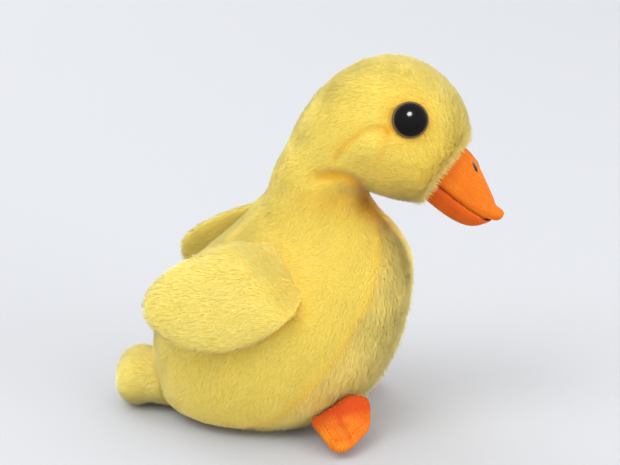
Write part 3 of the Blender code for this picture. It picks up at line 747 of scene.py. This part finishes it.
def combStrands(mesh, coat):
    # leans and gathers every strand about its own root
    root, outward, comb = (readLayer(mesh, name, 3) for name in ("root", "outward", "comb"))
    chance, shape = readLayer(mesh, "chance", 3), readLayer(mesh, "shape", 3)
    tall = readLayer(mesh, "tall", 1)[:, None]
    along = shape[:, 2:3]
    stray = (chance - 0.5) * 2
    stray -= outward * (stray * outward).sum(1, keepdims=True)
    lay = coat["lay"] * np.minimum(np.linalg.norm(comb, axis=1, keepdims=True), 1)
    lean = unit(outward * (1 - lay) + unit(comb) * lay + stray * coat["stray"])
    length = coat["length"] * tall * (0.7 + 0.6 * chance[:, 1:2])
    tip = root + lean * length
    # strands whose roots share a wavering cell draw together at their tips
    waver = 0.35 * coat["clump"] * np.sin(root[:, [1, 2, 0]] * 900)
    cells = np.floor((root + waver) / coat["clump"]).astype(np.int64)
    keys = (cells[:, 0] * 73856093) ^ (cells[:, 1] * 19349663) ^ (cells[:, 2] * 83492791)
    where = np.unique(keys, return_inverse=True)[1]
    count = np.bincount(where)
    middle = np.stack([np.bincount(where, tip[:, i]) / count for i in range(3)], 1)[where]
    luck = np.sin(keys.astype(np.float64) * 12.9898)[:, None]
    side = unit(np.cross(lean, outward))
    tip = tip + (middle - tip) * coat["gather"] + side * (luck * coat["waver"] * length)
    place = root + (tip - root) * along
    rise = unit(np.cross(lean, side))
    radius = coat["radius"] * (0.7 + 0.6 * chance[:, 2:3])
    place = place + (side * shape[:, 0:1] + rise * shape[:, 1:2]) * radius
    mesh.vertices.foreach_set("co", place.astype(np.float32).ravel())
    for name, values in (("along", along), ("luck", 0.65 * chance[:, 0:1] + 0.35 * (0.5 + 0.5 * luck))):
        layer = mesh.attributes.new(name, "FLOAT", "POINT")
        layer.data.foreach_set("value", values.astype(np.float32).ravel())
    return outward


def strandMap(mesh, perStrand, shape):
    # each strand has its own cell of the map, its length up the cell
    corner = np.empty(len(mesh.loops), np.int32)
    mesh.loops.foreach_get("vertex_index", corner)
    strand = corner // perStrand
    cells = math.ceil(math.sqrt(len(mesh.vertices) / perStrand))
    across = 0.5 + 0.4 * shape[corner, 0]
    u = (strand % cells + across) / cells
    v = (strand // cells + 0.08 + 0.84 * shape[corner, 2]) / cells
    layer = mesh.uv_layers.new(name="OFBake")
    layer.uv.foreach_set("vector", np.stack([u, v], 1).astype(np.float32).ravel())


def growPile(name, form, material, coat, seed, region):
    blade = coat["blade"]
    piece = link(bpy.data.objects.new(name, form.data.copy()))
    if region:
        layer = piece.data.attributes["pile"]
        for vertex in piece.data.vertices:
            if not region(vertex.co):
                layer.data[vertex.index].value = 0
    spread = piece.modifiers.new("spread", "NODES")
    spread.node_group = scatterTree(blade, coat["density"], seed)
    settled(piece)
    mesh = piece.data
    shape = readLayer(mesh, "shape", 3)
    outward = combStrands(mesh, coat)
    strandMap(mesh, len(blade.data.vertices), shape)
    for spare in ("root", "outward", "comb", "chance", "shape", "tall", "pile"):
        mesh.attributes.remove(mesh.attributes[spare])
    mesh.materials.clear()
    mesh.materials.append(material)
    mesh.shade_smooth()
    mesh.update()
    # the strands take most of their light from the way the cloth faces
    own = np.empty(len(mesh.vertices) * 3, np.float32)
    mesh.vertices.foreach_get("normal", own)
    facing = own.reshape(-1, 3) * (1 - coat["softness"]) + outward * coat["softness"]
    mesh.normals_split_custom_set_from_vertices(unit(facing))
    print(name, len(mesh.vertices) // len(blade.data.vertices), "strands", len(mesh.polygons), "triangles")
    return piece


shortCoat = {
    "blade": bladeObject("straightBlade"), "density": 4.4e6, "length": 0.0031, "radius": 0.00015,
    "lay": 0.64, "stray": 0.16, "clump": 0.0026, "gather": 0.20, "waver": 0.06, "softness": 0.88,
}
chestCoat = dict(shortCoat, length=0.0038, clump=0.0036, gather=0.26, waver=0.1)
thin = 1.0

neckSplit = 0.0004


def follow(piece, body):
    # the skin and its pile are baked in place, everything else rides on its body
    if body == "lower":
        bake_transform(piece)
    elif body == "upper":
        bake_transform(piece)
    else:
        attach(piece, body)


def addPile(name, form, material, body, coat, seed, region=None):
    coat = dict(coat, density=coat["density"] * thin)
    piece = growPile(name, form, material, coat, seed, region)
    follow(piece, body)


def isUpper(place):
    return pastNeck(place) > neckSplit


def onSide(place):
    return not isUpper(place) and chestSide(place) >= 0


def onChest(place):
    return not isUpper(place) and chestSide(place) < 0


def isBack(place):
    return place.x < -0.028


def skinPile(name, seeds, region, material, body, coat):
    # a right and a left piece of pile over one region of the skin
    addPile(name + "Right", skinForm, material, body, coat, seeds[0], lambda p: p.y < 0 and region(p))
    addPile(name + "Left", skinForm, material, body, coat, seeds[1], lambda p: p.y >= 0 and region(p))


skinPile("bodyPile", (1, 2), lambda p: onSide(p) and not isBack(p), lemonPile, "lower", shortCoat)
skinPile("backPile", (11, 12), lambda p: onSide(p) and isBack(p), lemonPile, "lower", shortCoat)
skinPile("chestPile", (3, 4), onChest, palePile, "lower", chestCoat)
skinPile("headPile", (6, 7), isUpper, lemonPile, "upper", shortCoat)
addPile("tailPile", tailForm, wingPile, "tail", shortCoat, 8)
addPile("rightWingPile", wingForms["right"], wingPile, "wing_right", shortCoat, 9)
addPile("leftWingPile", wingForms["left"], wingPile, "wing_left", shortCoat, 10)
print("pile grown")

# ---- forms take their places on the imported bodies
cut = {"overlap": 0.0015, "tuck": 0.0008, "sharp": 50}


def cutSkin(name, above):
    # the part of the skin above or below the neck, closed at the cut
    piece = link(bpy.data.objects.new(name, skinForm.data.copy()))
    mesh = bmesh.new()
    mesh.from_mesh(piece.data)
    away = -1 if above else 1
    place = neckCentre + neckWay * (neckSplit + away * cut["overlap"])
    geometry = mesh.verts[:] + mesh.edges[:] + mesh.faces[:]
    bmesh.ops.bisect_plane(
        mesh, geom=geometry, plane_co=place, plane_no=neckWay, clear_inner=above, clear_outer=not above)
    bmesh.ops.contextual_create(mesh, geom=[e for e in mesh.edges if e.is_boundary])
    bmesh.ops.triangulate(mesh, faces=[f for f in mesh.faces if len(f.verts) > 4])
    bmesh.ops.recalc_face_normals(mesh, faces=mesh.faces)
    # the part past the split draws in a little, so that the two skins never share a face
    mesh.normal_update()
    split = neckCentre + neckWay * neckSplit
    moves = []
    for vertex in mesh.verts:
        past = (vertex.co - split).dot(neckWay) * away / cut["overlap"]
        if past > 0:
            inward = neckCentre - vertex.co
            inward -= neckWay * inward.dot(neckWay)
            moves.append((vertex, inward.normalized() * (cut["tuck"] * min(1, past))))
    for vertex, step in moves:
        vertex.co += step
    mesh.to_mesh(piece.data)
    mesh.free()
    piece.data.set_sharp_from_angle(angle=math.radians(cut["sharp"]))
    return piece


lowerSkin, upperSkin = cutSkin("lowerSkin", False), cutSkin("upperSkin", True)
bpy.data.objects.remove(skinForm)
dressed = [
    (lowerSkin, "lower", bodyNodes + neckNodes + ["pellet_bag"], 0.8),
    (upperSkin, "upper", headNodes, 0.9),
    (tailForm, "tail", tailNodes, 0.6),
]
for side in ("right", "left"):
    dressed.append((wingForms[side], "wing_" + side, wings["nodes"][side], 0.6))
for form, body, nodes, fill in dressed:
    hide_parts(*nodes)
    follow(form, body)


# ---- fleece of the bill and the feet
knit = {
    "waver": 5, "ribDetail": 2, "ribDetailScale": 2.5, "ribShare": 0.28,
    "fuzzScale": 1500, "fuzzDetail": 4, "cloudScale": 120,
    "roughness": 0.85, "bump": 0.55, "depth": 0.0004, "specular": 0.12,
    "sheen": 0.14, "sheenRoughness": 0.5, "sheenTint": (1, 0.6, 0.2, 1),
}


def fleeceGroup():
    # a brushed knit: fine ribs under a fuzz, a tone that wavers, and painted shade towards the dark tone
    group = bpy.data.node_groups.new("fleeceKnit", "ShaderNodeTree")
    for name in ("Light", "Dark"):
        group.interface.new_socket(name, in_out="INPUT", socket_type="NodeSocketColor")
    group.interface.new_socket("Turn", in_out="INPUT", socket_type="NodeSocketVector")
    for name in ("Ribs", "PaintedShade"):
        group.interface.new_socket(name, in_out="INPUT", socket_type="NodeSocketFloat")
    group.interface.new_socket("Tone", in_out="OUTPUT", socket_type="NodeSocketColor")
    group.interface.new_socket("Relief", in_out="OUTPUT", socket_type="NodeSocketFloat")
    start, end = group.nodes.new("NodeGroupInput"), group.nodes.new("NodeGroupOutput")
    place = group.nodes.new("ShaderNodeTexCoord")
    turned = addNode(group, "ShaderNodeVectorRotate", rotation_type="EULER_XYZ")
    group.links.new(place.outputs["Object"], turned.inputs["Vector"])
    group.links.new(start.outputs["Turn"], turned.inputs["Rotation"])
    ribs = addNode(group, "ShaderNodeTexWave", wave_type="BANDS", bands_direction="X")
    setInputs(ribs, Distortion=knit["waver"], Detail=knit["ribDetail"], DetailScale=knit["ribDetailScale"])
    group.links.new(turned.outputs[0], ribs.inputs["Vector"])
    group.links.new(start.outputs["Ribs"], ribs.inputs["Scale"])
    fuzz = addNode(group, "ShaderNodeTexNoise")
    setInputs(fuzz, Scale=knit["fuzzScale"], Detail=knit["fuzzDetail"])
    group.links.new(place.outputs["Object"], fuzz.inputs["Vector"])
    relief = addNode(group, "ShaderNodeMath", operation="MULTIPLY_ADD")
    group.links.new(ribs.outputs["Fac"], relief.inputs[0])
    relief.inputs[1].default_value = knit["ribShare"]
    group.links.new(fuzz.outputs["Fac"], relief.inputs[2])
    group.links.new(relief.outputs[0], end.inputs["Relief"])
    wide = addNode(group, "ShaderNodeTexNoise")
    setInputs(wide, Scale=knit["cloudScale"])
    group.links.new(place.outputs["Object"], wide.inputs["Vector"])
    blend = addNode(group, "ShaderNodeMath", operation="MULTIPLY")
    group.links.new(relief.outputs[0], blend.inputs[0])
    group.links.new(wide.outputs["Fac"], blend.inputs[1])
    tone = addNode(group, "ShaderNodeMix", data_type="RGBA")
    group.links.new(blend.outputs[0], tone.inputs["Factor"])
    group.links.new(start.outputs["Dark"], tone.inputs["A"])
    group.links.new(start.outputs["Light"], tone.inputs["B"])
    # painted shade: the tone turns towards the dark one as far as the shade input asks
    shadeMix = addNode(group, "ShaderNodeMix", data_type="RGBA")
    group.links.new(start.outputs["PaintedShade"], shadeMix.inputs["Factor"])
    group.links.new(tone.outputs["Result"], shadeMix.inputs["A"])
    group.links.new(start.outputs["Dark"], shadeMix.inputs["B"])
    group.links.new(shadeMix.outputs["Result"], end.inputs["Tone"])
    return group


fleeceKnit = fleeceGroup()


def fleeceMaterial(name, light, dark, turn, ribs):
    material, tree, shader = plainMaterial(name, light, knit["roughness"])
    cloth = addNode(tree, "ShaderNodeGroup", node_tree=fleeceKnit)
    setInputs(cloth, Light=(*light, 1), Dark=(*dark, 1), Turn=turn, Ribs=ribs)
    # painted shade kept on the form's vertices
    fold = addNode(tree, "ShaderNodeAttribute", attribute_name="fold")
    tree.links.new(fold.outputs["Fac"], cloth.inputs["PaintedShade"])
    tree.links.new(cloth.outputs["Tone"], shader.inputs["Base Color"])
    addBump(tree, shader, cloth.outputs["Relief"], knit["bump"], knit["depth"])
    setInputs(shader, SheenWeight=knit["sheen"], SheenRoughness=knit["sheenRoughness"],
              SheenTint=knit["sheenTint"], SpecularIORLevel=knit["specular"])
    return material


upperFleece = fleeceMaterial("billFleece", bill["light"], bill["dark"], bill["turn"], bill["ribs"])
lowerFleece = fleeceMaterial(
    "lowerBillFleece", bill["lowerLight"], bill["lowerDark"], bill["turn"], bill["ribs"])


def keepPaintedShade(form, depth):
    # keeps how much shade is painted on each vertex, deeper in creases and folds
    layer = form.data.attributes.new("fold", "FLOAT", "POINT")
    layer.data.foreach_set("value", [max(0.0, min(1.0, depth(v.co, v.normal))) for v in form.data.vertices])


mouthSpot = billRoot - billRise * bill["mouthDrop"]


def billPaintedShade(place, normal):
    # painted shade in the mouth's crease and at the bill's base, under the overhanging pile
    mouth = abs((place - mouthSpot).dot(Vector(bill["mouthWay"])))
    root = (place - billRoot).dot(billAlong) - bill["rootAt"]
    deep = bill["mouthTone"] * near(mouth, bill["mouthWide"])
    return deep + bill["rootTone"] * near(root, bill["rootWide"])


for form, fleece in ((upperBill, upperFleece), (lowerBill, lowerFleece)):
    form.data.materials[0] = fleece
    keepPaintedShade(form, billPaintedShade)
    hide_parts(*billParts[form.name])
    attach(form, "head")
print("bill")

foot = {
    "light": (0.98, 0.38, 0.014), "dark": (0.52, 0.055, 0.003), "ribs": 230, "turn": (0, 0, -0.576),
    "voxel": 0.0008, "rounds": 5, "length": 0.024, "middleShare": 0.42, "leftTrim": 0.35,
    "lift": 0.0075, "stand": 0.0022, "cornerFrom": 0.008, "cornerFade": 0.016,
    "frontEnd": 0.010, "frontFade": 0.009,
    "valleyTone": 0.5, "valleyWide": 0.0013, "valleyDepth": 0.0009, "dentWide": 0.002,
    "rootTone": 0.95, "rootAt": 0.001, "rootWide": 0.0065,
    "highTone": 0.7, "highFrom": 0.0035, "highFade": 0.005,
    "thread": (0.66, 0.11, 0.004), "threadRoughness": 0.9, "threadSpecular": 0.05, "threadThick": 0.0004,
    "bins": 72, "stitchInset": 0.0030, "stitchPitch": 0.0021, "stitchFrom": 0.001, "castFrom": 0.03,
}
footFleece = fleeceMaterial("footFleece", foot["light"], foot["dark"], foot["turn"], foot["ribs"])
footThread = plainMaterial("footThread", foot["thread"], foot["threadRoughness"])[0]
setInputs(shaderOf(footThread), SpecularIORLevel=foot["threadSpecular"])
# each foot's root and its ways along, up and across
footFrames = {
    "right": [
        (0.015, -0.03, 0.0105), (0.5285, -0.8138, -0.2419), (0.1318, -0.2029, 0.9703), (0.8387, 0.5446, 0),
    ],
    "left": [(0.015, 0.03, 0.0105), (0, 0.9703, -0.2419), (0, 0.2419, 0.9703), (-1, 0, 0)],
}


def threadStitch(mesh, start, end, outward, thick):
    # one stitch from start to end, a long bead half sunk in the cloth
    made = bmesh.ops.create_icosphere(mesh, subdivisions=1, radius=1)["verts"]
    way = (end - start) / 2
    side = way.cross(outward).normalized()
    turned = Matrix((way, side * thick, outward.normalized() * thick)).transposed().to_4x4()
    bmesh.ops.transform(mesh, matrix=Matrix.Translation((start + end) / 2) @ turned, verts=made)


def stitchPiece(name, mesh, material, body):
    bmesh.ops.recalc_face_normals(mesh, faces=mesh.faces)
    piece = finished(mesh, name)
    piece.data.materials.append(material)
    piece.data.shade_smooth()
    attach(piece, body)
    return piece


def edgeReach(pad, middle, along, across):
    # how far the pad's edge lies from its middle, all round
    reach = [0.0] * foot["bins"]
    for vertex in pad.data.vertices:
        a, c = (vertex.co - middle).dot(along), (vertex.co - middle).dot(across)
        step = int((math.atan2(c, a) / math.tau % 1) * foot["bins"]) % foot["bins"]
        reach[step] = max(reach[step], math.hypot(a, c))
    for turn in range(2):
        reach = [(reach[i - 1] + 2 * reach[i] + reach[(i + 1) % len(reach)]) / 4 for i in range(len(reach))]
    return reach


def addTopstitch(side, pad):
    # a run of stitches inside the pad's edge, on its upper face
    root, along, rise, across = map(Vector, footFrames[side])
    middle = root + along * (foot["length"] * foot["middleShare"])
    outline = []
    for i, far in enumerate(edgeReach(pad, middle, along, across)):
        angle = (i + 0.5) / foot["bins"] * math.tau
        outline.append((along * math.cos(angle) + across * math.sin(angle)) * (far - foot["stitchInset"]))
    surface = treeOf(pad)
    mesh = bmesh.new()
    walked, nextStart, ends = 0.0, 0.0, []
    for here, there in zip(outline, outline[1:] + outline[:1]):
        gap = (there - here).length
        while nextStart <= walked + gap:
            ends.append(here.lerp(there, (nextStart - walked) / gap))
            nextStart += foot["stitchPitch"] / 2
        walked += gap
    for start, end in zip(ends[0::2], ends[1::2]):
        if (middle + start - root).dot(along) < foot["stitchFrom"]:
            continue
        spots = [surface.ray_cast(middle + p + rise * foot["castFrom"], -rise) for p in (start, end)]
        if all(s[0] is not None for s in spots):
            threadStitch(mesh, spots[0][0], spots[1][0], spots[0][1], foot["threadThick"])
    stitchPiece(side + "FootStitching", mesh, footThread, "foot_" + side)


for side in ("right", "left"):
    footNodes = ["foot_%s_%s" % (side, piece) for piece in ("top", "sole", "padding")]
    root, along, rise, across = map(Vector, footFrames[side])

    def fitFoot(mesh):
        # the right foot's front corner stands up against the belly, the left foot's front is trimmed
        for vertex in mesh.verts:
            if side == "left":
                vertex.co.x -= foot["leftTrim"] * max(0, vertex.co.x - root.x)
                continue
            gap = vertex.co - root
            up = ease((gap.dot(across) + foot["cornerFrom"]) / foot["cornerFade"])
            up *= ease((foot["frontEnd"] - gap.dot(along)) / foot["frontFade"])
            vertex.co += rise * (foot["lift"] * up)
            spot, normal = skinTree.find_nearest(vertex.co)[:2]
            height = (vertex.co - spot).dot(normal)
            if height < foot["stand"]:
                vertex.co += normal * (up * (foot["stand"] - height))

    def footPaintedShade(place, normal):
        # painted shade in the valley between the toes, near the root under the belly and on the corner raised
        # against it
        gap = place - root
        valley = near(gap.dot(across), foot["valleyWide"]) * max(0, normal.dot(rise))
        raised = ease((gap.dot(rise) - foot["highFrom"]) / foot["highFade"])
        inner = near(gap.dot(along) - foot["rootAt"], foot["rootWide"])
        return foot["valleyTone"] * valley + foot["rootTone"] * inner + foot["highTone"] * raised

    pad = stuffedForm(side + "Foot", footNodes, footFleece, foot["voxel"], foot["rounds"], 0, fitFoot)
    for vertex in pad.data.vertices:
        deep = near((vertex.co - root).dot(across), foot["dentWide"]) * max(0, vertex.normal.dot(rise))
        vertex.co = vertex.co - rise * (foot["valleyDepth"] * deep)
    keepPaintedShade(pad, footPaintedShade)
    addTopstitch(side, pad)
    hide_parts(*footNodes)
    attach(pad, "foot_" + side)
print("feet")

# ---- eyes: a glossy dome with a thin amber rim
eyes = {
    "black": (0.003, 0.0025, 0.0025), "rim": (0.20, 0.12, 0.055), "pupil": 0.88, "rimFrom": 0.95,
    "roughness": 0.14, "specular": 0.12, "radius": 0.0073, "dome": 0.0050, "sink": 0.0010,
    "bead": 0.0003, "backInset": 0.0004, "shank": 0.0019, "shankFrom": -0.0011, "shankEnd": -0.0100,
    "steps": 14, "turns": 48, "sharp": 50,
}


def eyeMaterial(spec):
    material, tree, shader = plainMaterial("eyePlastic", spec["black"], spec["roughness"])
    out = addNode(tree, "ShaderNodeAttribute", attribute_name="outFromMiddle")
    ramp = addNode(tree, "ShaderNodeValToRGB")
    black, rim = ramp.color_ramp.elements
    black.position, black.color = spec["pupil"], (*spec["black"], 1)
    rim.position, rim.color = spec["rimFrom"], (*spec["rim"], 1)
    tree.links.new(out.outputs["Fac"], ramp.inputs["Fac"])
    tree.links.new(ramp.outputs["Color"], shader.inputs["Base Color"])
    setInputs(shader, SpecularIORLevel=spec["specular"])
    return material


eyePlastic = eyeMaterial(eyes)


def addEye(side, spec):
    sign = -1 if side == "right" else 1
    outward = Vector((0.2301, sign * 0.9228, 0.3090)).normalized()
    mesh = bmesh.new()
    outline = []
    for i in range(spec["steps"] + 1):
        angle = math.pi / 2 * (1 - i / spec["steps"])
        outline.append((spec["radius"] * math.cos(angle), spec["dome"] * math.sin(angle)))
    edge = spec["radius"] + spec["bead"]
    outline += [
        (edge, 0.0001), (edge, -spec["bead"]), (spec["radius"] - spec["backInset"], -spec["sink"]),
        (spec["shank"], spec["shankFrom"]), (spec["shank"], spec["shankEnd"]), (0, spec["shankEnd"]),
    ]
    points = [mesh.verts.new((max(0, r), 0, h - spec["sink"])) for r, h in outline]
    lines = [mesh.edges.new(pair) for pair in zip(points, points[1:])]
    bmesh.ops.spin(
        mesh, geom=points + lines, axis=(0, 0, 1), cent=(0, 0, 0),
        angle=math.tau, steps=spec["turns"], use_merge=True)
    bmesh.ops.remove_doubles(mesh, verts=mesh.verts, dist=2e-5)
    bmesh.ops.recalc_face_normals(mesh, faces=mesh.faces)
    far = mesh.verts.layers.float.new("outFromMiddle")
    for vertex in mesh.verts:
        vertex[far] = math.hypot(vertex.co.x, vertex.co.y) / edge
    turned = Vector((0, 0, 1)).rotation_difference(outward).to_matrix().to_4x4()
    bmesh.ops.transform(mesh, matrix=Matrix.Translation(eyeSpots[side]) @ turned, verts=mesh.verts)
    eye = finished(mesh, side + "Eye")
    eye.data.materials.append(eyePlastic)
    eye.data.shade_smooth()
    eye.data.set_sharp_from_angle(angle=math.radians(spec["sharp"]))
    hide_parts("eye_" + side)
    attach(eye, "head")


for side in ("right", "left"):
    addEye(side, eyes)
print("eyes")

# ---- nostrils, each a small patch of satin stitches on the bill's ridge
nostril = {
    "colour": (0.012, 0.009, 0.008), "roughness": 0.5, "along": 0.0086, "side": 0.00405, "halfLength": 0.0027,
    "threads": 5, "spread": 0.00036, "roundness": 0.55, "thick": 0.00027, "castFrom": 0.03,
}
nostrilThread = plainMaterial("nostrilThread", nostril["colour"], nostril["roughness"])[0]
billSurface = treeOf(upperBill)


def addNostril(side, sign, n):
    mesh = bmesh.new()
    for i in range(n["threads"]):
        shift = (i - (n["threads"] - 1) / 2) * n["spread"]
        half = n["halfLength"] * math.sqrt(1 - (shift / (n["spread"] * n["threads"] * n["roundness"])) ** 2)
        ends = []
        for reach in (-half, half):
            above = billRoot + billAlong * (n["along"] + reach) + Vector((0, sign * n["side"] + shift, 0))
            ends.append(billSurface.ray_cast(above + billRise * n["castFrom"], -billRise))
        threadStitch(mesh, ends[0][0], ends[1][0], (ends[0][1] + ends[1][1]) / 2, n["thick"])
    piece = stitchPiece(side + "Nostril", mesh, nostrilThread, "head")
    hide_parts("nostril_" + side)


addNostril("right", -1, nostril)
addNostril("left", 1, nostril)

# ---- carried-over washers inside the head, and a fine grain on the small plastic and thread
washerPlastic = plainMaterial("washerPlastic", (0.85, 0.85, 0.83), 0.45)[0]
for material, scale in ((washerPlastic, 700), (nostrilThread, 1800), (footThread, 1800)):
    tree = material.node_tree
    where = tree.nodes.new("ShaderNodeTexCoord")
    speckle = addNode(tree, "ShaderNodeTexNoise")
    setInputs(speckle, Scale=scale)
    tree.links.new(where.outputs["Object"], speckle.inputs["Vector"])
    addBump(tree, shaderOf(material), speckle.outputs["Fac"], 0.3, 0.0002)
for side in ("right", "left"):
    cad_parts["eye_washer_" + side].material_slots[0].material = washerPlastic
print("nostrils and washers")
